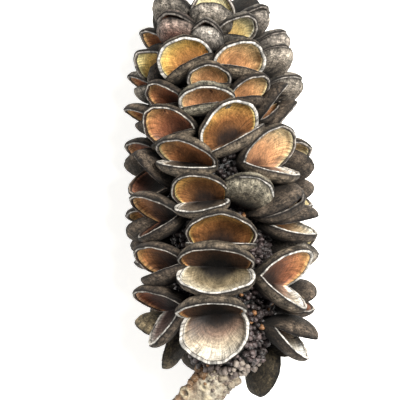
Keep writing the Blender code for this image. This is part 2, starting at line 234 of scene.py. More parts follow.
# Weathering: relief in noise (its scale, then its roughness, spacing and octaves), and the painted
# shade that shells have near the core, where the crowded follicles keep the light off.
SHELL_RELIEF = 0.25
SHELL_NOISE_SCALE = 0.55
SHELL_NOISE = (0.9, 2.1, 4)
SHADE_START = 2.0
SHADE_HEIGHT = 12.0
DEEP_SHADE = 0.2

# A mouth counts as open from an angle between its valves on. Whatever breaks through the lining of
# a neighbour's open mouth is drawn back behind it.
OPEN_ANGLE = 7.5
NEARBY = 3
BREAK_DEPTH = 2.6
BREAK_FADE = 1.3
BEHIND = 0.35
OWN_GAP = 0.15
FACING_SHARE = 0.7

# The bracts: knobs in a spiral all over the core.
BRACT_SPACING = 2.0
SPIRAL_STEP = 0.1
BRACT_STEP = 0.25
LEAST_RADIUS = 0.8
END_GAP = 0.3
BRACT_SCATTER = 0.75
BRACT_RADIUS = 1.12
BRACT_SIZES = (0.62, 1.3)
BRACT_HEIGHTS = (0.9, 1.6)
BRACT_FLATNESS = (0.75, 1.1)
BRACT_LIFT = 1.3
BRACT_LUMPS = 0.14
BRACT_MARGIN = 0.4
ROOT_CLEAR = 2.6
BRACT_SEED = 11
GOLDEN_ANGLE = 180 * (3 - math.sqrt(5))
ALMOST_LENGTHWISE = Vector((0, 1, 0.01))
KNOB_DETAIL = 2
LUMP_SWINGS = (2, 4)
LUMP_PHASE = 6
BRACT_TONES = ((44, 35, 35), (27, 21, 21), (64, 52, 52), (18, 14, 14), (34, 27, 26), (96, 82, 80))
PALE_BRACT_TONES = ((150, 138, 126), (122, 110, 100), (96, 84, 78))
PALE_BRACTS_END = 1.5
BRACT_AMBER = (142, 98, 58)
AMBER_SHARE = 0.05
BRACT_SHADING = 1.5
# Higher up, less light reaches the bracts between the crowded follicles.
GLOOM = 0.72
GLOOM_START = 52.0
GLOOM_RISE = 16.0
# The core itself, just under its bracts; its tone is also the painted shade at each bract's foot.
CORE_TONE = (11, 8, 8)
CORE_SINK = 1.2
CORE_SIDES = 64
CORE_RINGS = 120

# The stem: its route as in the part's source, then its bark.
STEM_RADIUS = 7.2
STEM_SIDES = 22
STEM_STEPS = 30
STEM_ROUTE = (
    (-0.5, 7.0, 0.0, 1.0),
    (-3.6, -2.0, 0.0, 1.0),
    (-9.5, -9.5, -0.5, 1.03),
    (-16.5, -17.0, -2.0, 1.0),
    (-24.0, -25.0, -4.0, 0.97),
)
STEM_KNOBS = (
    (-11.2, -0.6, 3.0, 1.9),
    (-9.6, -2.9, 6.2, 1.6),
    (-12.9, -4.2, 4.0, 1.7),
    (-14.6, -6.0, 3.0, 1.5),
    (1.6, -4.4, 3.4, 2.0),
    (2.6, -6.6, 1.0, 1.8),
    (0.6, -7.4, 4.4, 1.6),
    (-2.6, -4.4, 7.0, 1.8),
)

# Marks on the bark, as (to the side, along, radius, depth): raised rings with a dark hollow.
BARK_MARKS = (
    (-17.0, -9.6, 1.5, 0.8),
    (-6.5, -2.8, 1.2, 0.6),
    (-9.8, -7.7, 1.1, 1.0),
    (-14.0, -13.5, 0.9, 0.4),
    (-21.0, -18.5, 1.2, 0.7),
    (-8.6, -12.3, 0.8, 0.5),
    (-17.5, -23.0, 0.9, 0.6),
)
RIDGE_WIDTH = 0.45
RIDGE_HEIGHT = 0.75
PIT_SHARE = 0.6
PIT_DEPTH = 0.9
PIT_SHADE = 0.9
BARK_NOISE_SCALE = 0.5
BARK_NOISE = (0.7, 2.1, 5)
BARK_RELIEF = 0.75
BARK_SINK = 0.2
# Tones of the bark: its two greys in patches, and the brown along its left side.
BARK_TONES = ((192, 183, 164), (154, 142, 122), (136, 94, 54))
BARK_PATCH_SCALE = 0.45
PATCH_CONTRAST = 2.2
PATCH_BALANCE = 0.5
LEFT_BROWN_CONTRAST = 1.7
LEFT_BROWN_START = 0.35
# The pale tone of the raised rings is a painted highlight on them.
RIDGE_HIGHLIGHT_TONE = (200, 186, 154)
# Painted shade on the flanks of the stem, where its surface turns away from above, and in the sunken
# hollows of its relief.
EDGE_SHADE = 0.35
EDGE_FALL = 1.5
HOLLOW_SHADE = 0.75
HOLLOW_FALL = 1.2

# The collar of small knobs at the top of the stem, from its middle to its lower end.
BUD_TONES = ((128, 92, 58), (150, 138, 120))
COLLAR_SEED = 5
COLLAR_COUNT = 90
COLLAR_MIDDLE = (-3.6, -2.6)
COLLAR_END = (-8.2, -8.0)
COLLAR_ACROSS = (0.78, -0.62)
COLLAR_CROWDING = 1.5
COLLAR_SIZES = (0.6, 1.25)
COLLAR_TAPER = 0.4
COLLAR_PALE_REACH = 4
COLLAR_LUMPS = 0.12
COLLAR_SHADE = 0.45

# The materials: how rough each is, how deep its fine relief is in metres, the scales of its noise
# in cells to a metre, and the tones that are laid over the meshes' own.
WOOD_ROUGHNESS = 0.82
WOOD_GLOSS = 0.3
BRACT_ROUGHNESS = 0.42
BARK_ROUGHNESS = 0.8
FLOOR_ROUGHNESS = 0.9
WOOD_BUMP = 0.0006
BRACT_BUMP = 0.0004
BARK_BUMP = 0.0008
STAIN_SCALE = 130
BLOTCH_SCALE = 230
FLECK_SCALE = 800
RELIEF_SCALE = 1100
GRAIN_SCALE = 1500
BRACT_SCALE = 1400
BARK_STAIN_SCALE = 300
BARK_GRAIN_SCALE = 1300
BRACT_DUST = (150, 134, 130)
BARK_STAIN = (120, 100, 82)
BARK_DUST = (206, 196, 172)
BARK_FURROW = (66, 52, 41)

# The photograph: a picture of 400 by 400 pixels, and the pixel where the cone's base is.
PICTURE = 400
BASE_PIXEL = (229, 366)
PIXEL_SIZE = 0.375
PICTURE_TURN = 3.365
FOCUS_OUT = 10.0
CAMERA_DISTANCE = 900.0
CAMERA_SIGHT = 10.0
SENSOR = 36.0

# Lamps, in metres: where each is, its size, its power and its colour.
KEY_LAMP = ((0.42, 0.24, 1.0), 0.35, 28.0, (1.0, 0.98, 0.94))
FILL_LAMP = ((-0.6, -0.3, 0.9), 1.0, 4.0, (0.97, 0.98, 1.0))
SKY_STRENGTH = 0.27
FLOOR_SIZE = 2.0
FLOOR_TONE = (250, 249, 245)
FLOOR_GLOW = (1.0, 0.995, 0.975, 1.0)
FLOOR_GLOW_STRENGTH = 0.58


def linear(tone):
    """A tone of 0 to 255 in each channel, as the linear values that shaders use."""
    values = np.asarray(tone, float) / 255
    return np.where(values <= 0.04045, values / 12.92, ((values + 0.055) / 1.055) ** 2.4)


def opaque(tone):
    """A tone as a shader's colour socket takes it."""
    return (*linear(tone), 1.0)


def mixed(first, second, share):
    return first * (1 - share) + second * share


def smooth_step(value):
    value = np.clip(value, 0.0, 1.0)
    return value * value * (3 - 2 * value)


def core_radius(along):
    """Radius of the core at a distance along it."""
    if along > CORE_BELLY:
        fall = ((along - CORE_BELLY) / (CORE_TIP - CORE_BELLY)) ** TIP_POWER
    else:
        fall = ((CORE_BELLY - along) / (CORE_BELLY - CORE_BASE)) ** BASE_POWER
    return CORE_RADIUS * max(0.0, 1 - fall) ** DOME_ROUNDING


def core_slope(along, step):
    """How fast the core's radius changes, taken over a step to either side."""
    return (core_radius(along + step) - core_radius(along - step)) / (2 * step)


def radial(around):
    """Unit direction straight out from the axis, at an angle round from the front."""
    angle = math.radians(around)
    return Vector((math.sin(angle), 0, math.cos(angle)))


def on_axis(along):
    return Vector((AXIS_SIDE, AXIS_START + along, AXIS_HEIGHT))


def seat(along, around):
    """Hinge point of a follicle, with the outward, sideways and upward directions there."""
    tilt = math.atan(-core_slope(along, SLOPE_STEP))
    out = radial(around)
    lengthwise = Vector((0, 1, 0))
    normal = out * math.cos(tilt) + lengthwise * math.sin(tilt)
    up = lengthwise * math.cos(tilt) - out * math.sin(tilt)
    point = on_axis(along) + out * core_radius(along) + normal * HINGE_OUT
    return point, normal, up.cross(normal), up


def back_follicles():
    """The follicles of the hidden side, by the same rule as in the part's source."""
    draw = random.Random(BACK_SEED)
    rows = int((BACK_LAST - BACK_FIRST) / BACK_ROW) + 1
    found = []
    for row in range(rows):
        along = BACK_FIRST + row * BACK_ROW
        shift = BACK_STEP / 2 if row % 2 == 0 else 0.0
        places = [shift + BACK_STEP * k for k in range(-BACK_PLACES, BACK_PLACES + 1)]
        for place in places:
            on_a_foot = [
                foot for foot in FEET
                if abs(foot[0] - along) < BACK_ROW / 2 and abs(foot[1] - 180 - place) < BACK_STEP / 2
            ]
            if abs(place) > BACK_SPREAD or on_a_foot:
                continue
            found.append((
                along + draw.uniform(-BACK_SCATTER, BACK_SCATTER),
                180 + place,
                BACK_WIDTH + draw.uniform(-BACK_SCATTER, BACK_SCATTER),
                draw.uniform(-BACK_ROLL, BACK_ROLL),
                draw.uniform(*BACK_LEAN),
                draw.uniform(*BACK_LEAN),
                1.0,
            ))
    return found


def mouth_surface(follicle, share, angle, outside):
    """Points of one surface of the follicle: how far sideways, up and out of its hinge they are.

    share and angle are arrays of one shape. The fourth result is how far each point is from the
    hinge line, as a share of the valve's reach.
    """
    _, _, width, _, lean_up, lean_down, lower_size = follicle
    upper = angle >= 0
    size = np.where(upper, 1.0, lower_size)
    lean = np.radians(np.where(upper, lean_up, -lean_down))
    reach = (REACH_BASE + REACH_PER_WIDTH * width) * size
    inset = 0.0 if outside else RIM
    middle = reach * MIDDLE_SHARE
    half_reach = reach - middle - inset
    half_width = width / 2 - inset
    corner = -np.arcsin(np.minimum(1.0, middle / half_reach))
    turn = corner + (math.pi - 2 * corner) * np.abs(angle) / math.pi
    across = share * half_width * np.cos(turn)
    along = share * (middle + half_reach * np.sin(turn))
    fullness = (across / half_width) ** 2 + ((along - middle) / half_reach) ** 2
    # Near the corners the lower back takes over from the upper one gradually.
    takeover = smooth_step(np.sin(np.abs(angle)) / BACK_TAKEOVER)
    depth_size = 1 + (size - 1) * takeover
    depth = (DISH_BASE + DISH_PER_WIDTH * width) * depth_size + (WALL if outside else 0.0)
    depth = depth * np.sqrt(np.maximum(0.0, 1 - fullness))
    bend = smooth_step(along / (reach * BEND_SHARE))
    away = np.where(upper, 1.0, -1.0)
    back_up = bend * away * np.cos(lean)
    back_out = -bend * away * np.sin(lean) - (1 - bend)
    length = np.hypot(back_up, back_out)
    back_up = back_up / length
    back_out = back_out / length
    if outside:
        root = ROOT * (1 - bend) * (1 - share ** ROOT_POWER)
    else:
        root = CREVICE_DEPTH * np.exp(-(along / CREVICE_WIDTH) ** 2) * (1 - share ** 2)
    across = across * (1 - TIP_NARROWING * np.maximum(0.0, np.sin(turn)) ** 2)
    up = along * np.sin(lean) + depth * back_up
    out = along * np.cos(lean) + depth * back_out - root
    return across, up, out, along / reach


def waves(angle, draw):
    """A small irregular swing round the mouth, so that no two are the same."""
    total = np.zeros_like(angle)
    for count in WAVE_COUNTS:
        phase = draw.uniform(0, math.tau)
        total += np.sin(count * angle + phase) * draw.uniform(*WAVE_STRENGTHS) / math.sqrt(count)
    return total


def between(stops, places, value):
    """Colours for an array of values, mixed between stops at rising places."""
    colours = np.array([linear(tone) for tone in stops])
    return np.stack([np.interp(value, places, colours[:, channel]) for channel in range(3)], axis=-1)


def grid_faces(levels, sectors):
    """Four-sided faces between rings of points, from each level to the next."""
    place = np.arange(sectors)
    beside = (place + 1) % sectors
    return np.concatenate([
        np.stack([k * sectors + place, k * sectors + beside,
                  (k + 1) * sectors + beside, (k + 1) * sectors + place], axis=-1)
        for k in range(levels - 1)
    ])


def rim_colours(place, is_upper, rim_tone, lower_tone):
    """Colours round the rim, at one place on the way from the lining to the shell."""
    sides = []
    for side_tone in (rim_tone, "white" if lower_tone in PALE_LOWER else rim_tone):
        band, inner_band, worn, band_places = RIMS[side_tone]
        # The inner band carries painted shade on the rim's wall down into the lining.
        stops = (LINE_TONE, LINE_TONE, inner_band, inner_band, band, band, worn, LINE_TONE, LINE_TONE)
        sides.append(between(stops, band_places, np.full(len(is_upper), place)))
    return np.where(is_upper, *sides)


def follicle_mesh(follicle, tones, sectors, draw):
    """Points, colours, zones, flow, seeds and faces of one follicle, from its crevice to its root."""
    point, normal, side, up = seat(follicle[0], follicle[1])
    turn = Matrix.Rotation(math.radians(follicle[3]), 3, normal)
    rows = np.array([turn @ side, turn @ up, normal])
    sector_angle = -math.pi + np.arange(sectors) * math.tau / sectors
    swing = 1 + WAVE * waves(sector_angle, draw)
    ruffle = waves(sector_angle * 2, draw)
    seed = draw.uniform(0, SEED_RANGE)
    shade = draw.uniform(*FOLLICLE_SHADES)
    upper_tone, lower_tone, shell_tone, rim_tone = tones
    upper = sector_angle >= 0
    is_upper = upper[:, None]

    def surface(share, outside):
        """Points round the mouth at a share of the way out, and how far from the hinge line they are."""
        shares = np.full(sectors, float(share))
        across, height, out, rise = mouth_surface(follicle, shares, sector_angle, outside)
        scale = 1 + (swing - 1) * share ** 2
        return np.stack([across * scale, height * scale, out * scale], axis=-1), rise

    levels, colours, zones, shares = [], [], [], []
    for share in LINING_LEVELS:
        points, rise = surface(share, False)
        # Painted light: the lining darkens towards its crevice and hinge line as painted shade, and is
        # pale at its lip as a painted highlight.
        value = ROUND_SHARE * share + (1 - ROUND_SHARE) * np.minimum(1.0, rise / FULL_RISE)
        value = np.maximum(value, share ** EDGE_HIGHLIGHT_POWER) + LINING_RUFFLE * ruffle * share * (1 - share)
        sides = [
            between(LININGS[tone][3::-1], LININGS[tone][4], value) for tone in (upper_tone, lower_tone)
        ]
        levels.append(points)
        colours.append(np.where(is_upper, *sides) * shade)
        zones.append(LINING_ZONE)
        shares.append(share)
    inner, _ = surface(1.0, False)
    outer, _ = surface(1.0, True)
    # The rim's crown rises into the mouth, away from the back, and fades out at the corners.
    away = np.where(upper, 1.0, -1.0)
    lean = np.radians(np.where(upper, follicle[4], -follicle[5]))
    crown_way = np.stack([np.zeros(sectors), -away * np.cos(lean), away * np.sin(lean)], axis=-1)
    crown_way = crown_way * smooth_step(np.abs(np.sin(sector_angle)) / CORNER_FADE)[:, None]
    for place in RIM_LEVELS:
        crown = RIM_CROWN * math.sin(math.pi * min(1.0, place * CROWN_REACH)) ** CROWN_POWER
        crown -= RIM_GROOVE * math.exp(-((place - GROOVE_PLACE) / GROOVE_PLACE) ** 2)
        crown = crown + RIM_RUFFLE * ruffle * math.sin(math.pi * place)
        levels.append(mixed(inner, outer, place) + crown_way * crown[:, None])
        colours.append(rim_colours(place, is_upper, rim_tone, lower_tone))
        zones.append(RIM_ZONE)
        shares.append(1.0)
    # Painted shade: each shell darkens from its rim down to its root, and ends in a dark line at the
    # rim.
    shell_stops = (*SHELLS[shell_tone][::-1], LINE_TONE)
    for share in SHELL_LEVELS:
        points, _ = surface(share, True)
        levels.append(points)
        colours.append(between(shell_stops, SHELL_PLACES, np.full(sectors, share)) * shade)
        zones.append(SHELL_ZONE)
        shares.append(share)

    count = len(levels)
    world = np.array(levels).reshape(-1, 3) @ rows + np.array(point)
    colour = np.array(colours).reshape(-1, 3)
    flow = np.stack([
        np.tile(np.cos(sector_angle), count),
        np.tile(np.sin(sector_angle), count),
        np.repeat(shares, sectors),
    ], axis=-1)
    seeds = np.full(len(world), seed)
    return world, colour, np.repeat(zones, sectors), flow, seeds, grid_faces(count, sectors)


def weather_and_shade(world, colour, zone):
    """Roughens the rim and the shell as weathered wood, and paints shade on the shell towards the core,
    where the crowded follicles keep the light off.
    """
    from_axis = np.hypot(world[:, 0] - AXIS_SIDE, world[:, 2] - AXIS_HEIGHT)
    depth = smooth_step((from_axis - CORE_RADIUS - SHADE_START) / SHADE_HEIGHT)
    shell = zone == SHELL_ZONE
    colour[shell] *= (DEEP_SHADE + (1 - DEEP_SHADE) * depth[shell])[:, None]
    for index in np.flatnonzero(zone > LINING_ZONE):
        place = Vector(world[index])
        rough = noise.fractal(place * SHELL_NOISE_SCALE, *SHELL_NOISE) * SHELL_RELIEF
        away = Vector((place.x - AXIS_SIDE, 0, place.z - AXIS_HEIGHT)).normalized()
        world[index] += np.array(away) * rough


def lining_tree(follicle, part, sectors):
    """Search tree over a lining, with its middle, how far it reaches and a point in the open mouth."""
    lining = part[0][:len(LINING_LEVELS) * sectors]
    faces = part[5][:(len(LINING_LEVELS) - 1) * sectors]
    middle = lining.mean(axis=0)
    reach = np.linalg.norm(lining - middle, axis=1).max()
    point, normal, side, up = seat(follicle[0], follicle[1])
    turn = Matrix.Rotation(math.radians(follicle[3]), 3, normal)
    lean = math.radians((follicle[4] - follicle[5]) / 2)
    inside = point + (turn @ up * math.sin(lean) + normal * math.cos(lean)) * REACH_BASE
    return BVHTree.FromPolygons(lining.tolist(), faces.tolist()), middle, reach, inside


def behind(place, lining, gap):
    """The place, drawn back behind a lining by a gap where it has just broken through it."""
    tree, _, _, inside = lining
    hit, normal, _, distance = tree.find_nearest(place, BREAK_DEPTH)
    if hit is None:
        return place
    if normal.dot(inside - hit) < 0:
        normal = -normal
    height = (place - hit).dot(normal)
    if height < -gap or abs(height) < FACING_SHARE * distance:
        return place
    fade = float(1 - smooth_step((height - BREAK_FADE) / (BREAK_DEPTH - BREAK_FADE)))
    return place - normal * (height + gap) * fade


def clear_mouths(parts, trees):
    """Draws whatever just breaks through a neighbour's lining back, but not through its own."""
    for own, lining in trees.items():
        _, middle, reach, _ = lining
        for other, part in enumerate(parts):
            world, zone = part[0], part[2]
            if other == own or np.linalg.norm(world.mean(axis=0) - middle) > NEARBY * reach:
                continue
            for index in np.flatnonzero(np.linalg.norm(world - middle, axis=1) < reach):
                place = Vector(world[index])
                moved = behind(place, lining, BEHIND)
                if moved is not place and other in trees and zone[index] == SHELL_ZONE:
                    moved = behind(moved, trees[other], OWN_GAP)
                world[index] = moved


def add_object(name, data):
    """A new object in the scene."""
    made = bpy.data.objects.new(name, data)
    bpy.context.scene.collection.objects.link(made)
    return made


def build_piece(name, parts, material):
    """One mesh object out of several (points, colour, zone, flow, seed, faces) sets."""
    worlds, colours, zones, flows, seeds, _ = zip(*parts)
    points = np.concatenate(worlds)
    points[:, 2] = np.maximum(points[:, 2], 0.0)
    starts = np.cumsum([0] + [len(world) for world in worlds])
    faces = np.concatenate([part[5] + start for part, start in zip(parts, starts)])
    mesh = bpy.data.meshes.new(name)
    mesh.from_pydata((points * MM).tolist(), [], faces.tolist())
    layers = (
        ("tint", "FLOAT_COLOR", "color", np.insert(np.concatenate(colours), 3, 1.0, axis=1)),
        ("zone", "FLOAT", "value", np.concatenate(zones)),
        ("flow", "FLOAT_VECTOR", "vector", np.concatenate(flows)),
        ("seed", "FLOAT", "value", np.concatenate(seeds)),
    )
    for layer_name, kind, field, values in layers:
        layer = mesh.attributes.new(layer_name, kind, "POINT")
        layer.data.foreach_set(field, values.ravel())
    shape = bmesh.new()
    shape.from_mesh(mesh)
    bmesh.ops.remove_doubles(shape, verts=shape.verts, dist=1e-7)
    bmesh.ops.recalc_face_normals(shape, faces=shape.faces)
    shape.to_mesh(mesh)
    shape.free()
    mesh.shade_smooth()
    mesh.materials.append(material)
    return add_object(name, mesh)


def follicle_parts():
    """The fine mesh of every follicle, front ones first, and a search tree for each open lining."""
    draw = random.Random(FINE_SEED)
    rows = [(follicle, tones, FRONT_SECTORS) for follicle, *tones in FRONT_FOLLICLES]
    for follicle in [*FEET, *back_follicles()]:
        rows.append((follicle, draw.choice(BACK_TONES), BACK_SECTORS))
    parts = []
    trees = {}
    for number, (follicle, tones, sectors) in enumerate(rows):
        part = follicle_mesh(follicle, tones, sectors, draw)
        weather_and_shade(part[0], part[1], part[2])
        parts.append(part)
        if follicle[4] + follicle[5] > OPEN_ANGLE:
            trees[number] = lining_tree(follicle, part, sectors)
    clear_mouths(parts, trees)
    return parts, trees


def add_follicles(parts, material):
    """The follicles in groups, front ones in rows from the tip down, then the hidden ones."""
    front = len(FRONT_FOLLICLES)
    group_size = math.ceil(front / FRONT_PIECES)
    pieces = []
    for group in range(FRONT_PIECES):
        chosen = parts[group * group_size:min(front, (group + 1) * group_size)]
        pieces.append(build_piece(f"front_follicles_{group + 1}", chosen, material))
    pieces.append(build_piece("back_follicles", parts[front:], material))
    return pieces


def knob_shape():
    """Points and triangles of a small ball, for the bracts and the buds."""
    shape = bmesh.new()
    bmesh.ops.create_icosphere(shape, subdivisions=KNOB_DETAIL, radius=1)
    points = np.array([vertex.co for vertex in shape.verts])
    faces = np.array([[vertex.index for vertex in face.verts] for face in shape.faces])
    shape.free()
    return points, faces


def lumps(ball, strength, draw):
    """How much each point of a knob stands out or in, as a share of its radius."""
    swings = np.array([draw.uniform(*LUMP_SWINGS) for _ in range(3)])
    return (1 + strength * np.sin(ball @ swings + draw.uniform(0, LUMP_PHASE)))[:, None]


def bract_places():
    """Where the bracts stand: one close spiral over the whole core."""
    found = []
    along = CORE_BASE + END_GAP
    while along < CORE_TIP - END_GAP:
        found.append((along, (len(found) * GOLDEN_ANGLE) % 360))
        girth = math.tau * max(core_radius(along), LEAST_RADIUS)
        along += BRACT_SPACING ** 2 / (girth * math.hypot(1, core_slope(along, SPIRAL_STEP)))
    return found


def covered(place, height, seats, trees):
    """Whether a bract would be inside a follicle's root, or show in its mouth."""
    if any((place - seat_point).length < ROOT_CLEAR for seat_point in seats):
        return True
    for tree, middle, reach, _ in trees.values():
        if (place - Vector(middle)).length < reach + height:
            if tree.find_nearest(place, height)[0] is not None:
                return True
    return False


def add_bracts(trees, material):
    """The core's many knobs, uneven in size, height and tone."""
    draw = random.Random(BRACT_SEED)
    ball, ball_faces = knob_shape()
    count = len(ball)
    # Painted shade: each bract darkens to the core's tone towards its foot.
    shade = ((ball[:, 2:3] + 1) / 2) ** BRACT_SHADING
    follicles = [follicle for follicle, *_ in FRONT_FOLLICLES] + [*FEET, *back_follicles()]
    seats = [on_axis(f[0]) + radial(f[1]) * core_radius(f[0]) for f in follicles]
    parts = []
    for along, around in bract_places():
        along += draw.uniform(-BRACT_SCATTER, BRACT_SCATTER)
        along = min(CORE_TIP - END_GAP, max(CORE_BASE + END_GAP, along))
        around += math.degrees(draw.uniform(-BRACT_SCATTER, BRACT_SCATTER) / CORE_RADIUS)
        out = radial(around)
        way = (out - Vector((0, core_slope(along, BRACT_STEP), 0))).normalized()
        place = on_axis(along) + out * core_radius(along)
        radius = BRACT_RADIUS * draw.uniform(*BRACT_SIZES)
        height = radius * draw.uniform(*BRACT_HEIGHTS)
        lift = draw.uniform(0.0, BRACT_LIFT)
        tone = BRACT_AMBER if draw.random() < AMBER_SHARE else draw.choice(BRACT_TONES)
        if covered(place, lift + height + BRACT_MARGIN, seats, trees):
            continue
        side = way.cross(ALMOST_LENGTHWISE).normalized()
        rows = np.array([side, way.cross(side), way])
        lumpy = ball * lumps(ball, BRACT_LUMPS, draw)
        scaled = lumpy * np.array([radius, radius * draw.uniform(*BRACT_FLATNESS), height])
        world = scaled @ rows + np.array(place + way * lift)
        if along < PALE_BRACTS_END:
            tone = draw.choice(PALE_BRACT_TONES)
        colour = mixed(linear(CORE_TONE), linear(tone), shade)
        # Painted shade: higher up the core the bracts get darker, and the third part of their flow
        # carries it.
        lit = 1 - GLOOM * smooth_step((along - GLOOM_START) / GLOOM_RISE)
        flow = np.tile([draw.uniform(-1, 1), draw.uniform(-1, 1), lit], (count, 1))
        seeds = np.full(count, draw.uniform(0, SEED_RANGE))
        parts.append((world, colour, np.full(count, KNOB_ZONE), flow, seeds, ball_faces))
    half = len(parts) // 2
    return [
        build_piece("bracts_lower", parts[:half], material),
        build_piece("bracts_upper", parts[half:], material),
    ]


def add_core(material):
    """The core under the bracts, as a closed barrel, drawn black between them as painted shade."""
    angles = np.arange(CORE_SIDES) * 360 / CORE_SIDES
    levels = []
    for ring in range(CORE_RINGS + 1):
        along = CORE_BASE + (CORE_TIP - CORE_BASE) * ring / CORE_RINGS
        radius = max(0.0, core_radius(along) - CORE_SINK)
        levels.append([on_axis(along) + radial(angle) * radius for angle in angles])
    world = np.array(levels).reshape(-1, 3)
    count = len(world)
    colour = np.tile(linear(CORE_TONE), (count, 1))
    faces = grid_faces(CORE_RINGS + 1, CORE_SIDES)
    # Painted shade: the core's flow is all zero, and the bract material multiplies its colour by the
    # third part of the flow, so the core shows black in the gaps between the bracts.
    part = (world, colour, np.full(count, KNOB_ZONE), np.zeros((count, 3)), np.zeros(count), faces)
    return build_piece("core", [part], material)


class Nodes:
    """Short calls for wiring a material."""

    def __init__(self, name):
        self.material = bpy.data.materials.new(name)
        self.material.use_nodes = True
        self.tree = self.material.node_tree
        self.shader = self.tree.nodes["Principled BSDF"]
        self.shader.inputs["Metallic"].default_value = 0.0

    def new(self, kind, **settings):
        node = self.tree.nodes.new(kind)
        for key, value in settings.items():
            setattr(node, key, value)
        return node

    def link(self, source, target):
        self.tree.links.new(source, target)

    def fill(self, socket, value):
        if isinstance(value, bpy.types.NodeSocket):
            self.link(value, socket)
        else:
            socket.default_value = value

    def attribute(self, name, output="Fac"):
        return self.new("ShaderNodeAttribute", attribute_name=name).outputs[output]

    def object_place(self):
        return self.new("ShaderNodeTexCoord").outputs["Object"]

    def third(self, vector):
        """The third part of a vector."""
        parts = self.new("ShaderNodeSeparateXYZ")
        self.link(vector, parts.inputs[0])
        return parts.outputs["Z"]

    def math(self, operation, first, second=0.0):
        node = self.new("ShaderNodeMath", operation=operation)
        self.fill(node.inputs[0], first)
        self.fill(node.inputs[1], second)
        return node.outputs[0]

    def product(self, first, *others):
        for value in others:
            first = self.math("MULTIPLY", first, value)
        return first

    def vector(self, operation, first, second):
        node = self.new("ShaderNodeVectorMath", operation=operation)
        self.fill(node.inputs[0], first)
        self.fill(node.inputs[1], second)
        return node.outputs[0]

    def noise(self, place, scale, detail=2.0, roughness=0.5):
        node = self.new("ShaderNodeTexNoise")
        self.fill(node.inputs["Vector"], place)
        node.inputs["Scale"].default_value = scale
        node.inputs["Detail"].default_value = detail
        node.inputs["Roughness"].default_value = roughness
        return node.outputs["Fac"]

    def spread(self, value, low, high, to_low, to_high):
        """Value from low to high becomes to_low to to_high, and no further."""
        node = self.new("ShaderNodeMapRange")
        self.fill(node.inputs["Value"], value)
        ends = {"From Min": low, "From Max": high, "To Min": to_low, "To Max": to_high}
        for name, end in ends.items():
            node.inputs[name].default_value = end
        return node.outputs["Result"]

    def mix(self, factor, first, second):
        """A mix of two colours, by the places of the node's colour sockets."""
        node = self.new("ShaderNodeMix", data_type="RGBA")
        self.fill(node.inputs["Factor"], factor)
        self.fill(node.inputs[6], first)
        self.fill(node.inputs[7], second)
        return node.outputs[2]

    def blend_values(self, factor, first, second):
        node = self.new("ShaderNodeMix", data_type="FLOAT")
        self.fill(node.inputs["Factor"], factor)
        self.fill(node.inputs[2], first)
        self.fill(node.inputs[3], second)
        return node.outputs[0]

    def shaded(self, colour, value):
        """The colour with one value multiplied into all of its channels."""
        spread = self.new("ShaderNodeCombineXYZ")
        for axis in ("X", "Y", "Z"):
            self.link(value, spread.inputs[axis])
        return self.vector("MULTIPLY", colour, spread.outputs[0])

    def bump(self, height, distance):
        node = self.new("ShaderNodeBump")
        node.inputs["Distance"].default_value = distance
        self.link(height, node.inputs["Height"])
        self.link(node.outputs["Normal"], self.shader.inputs["Normal"])


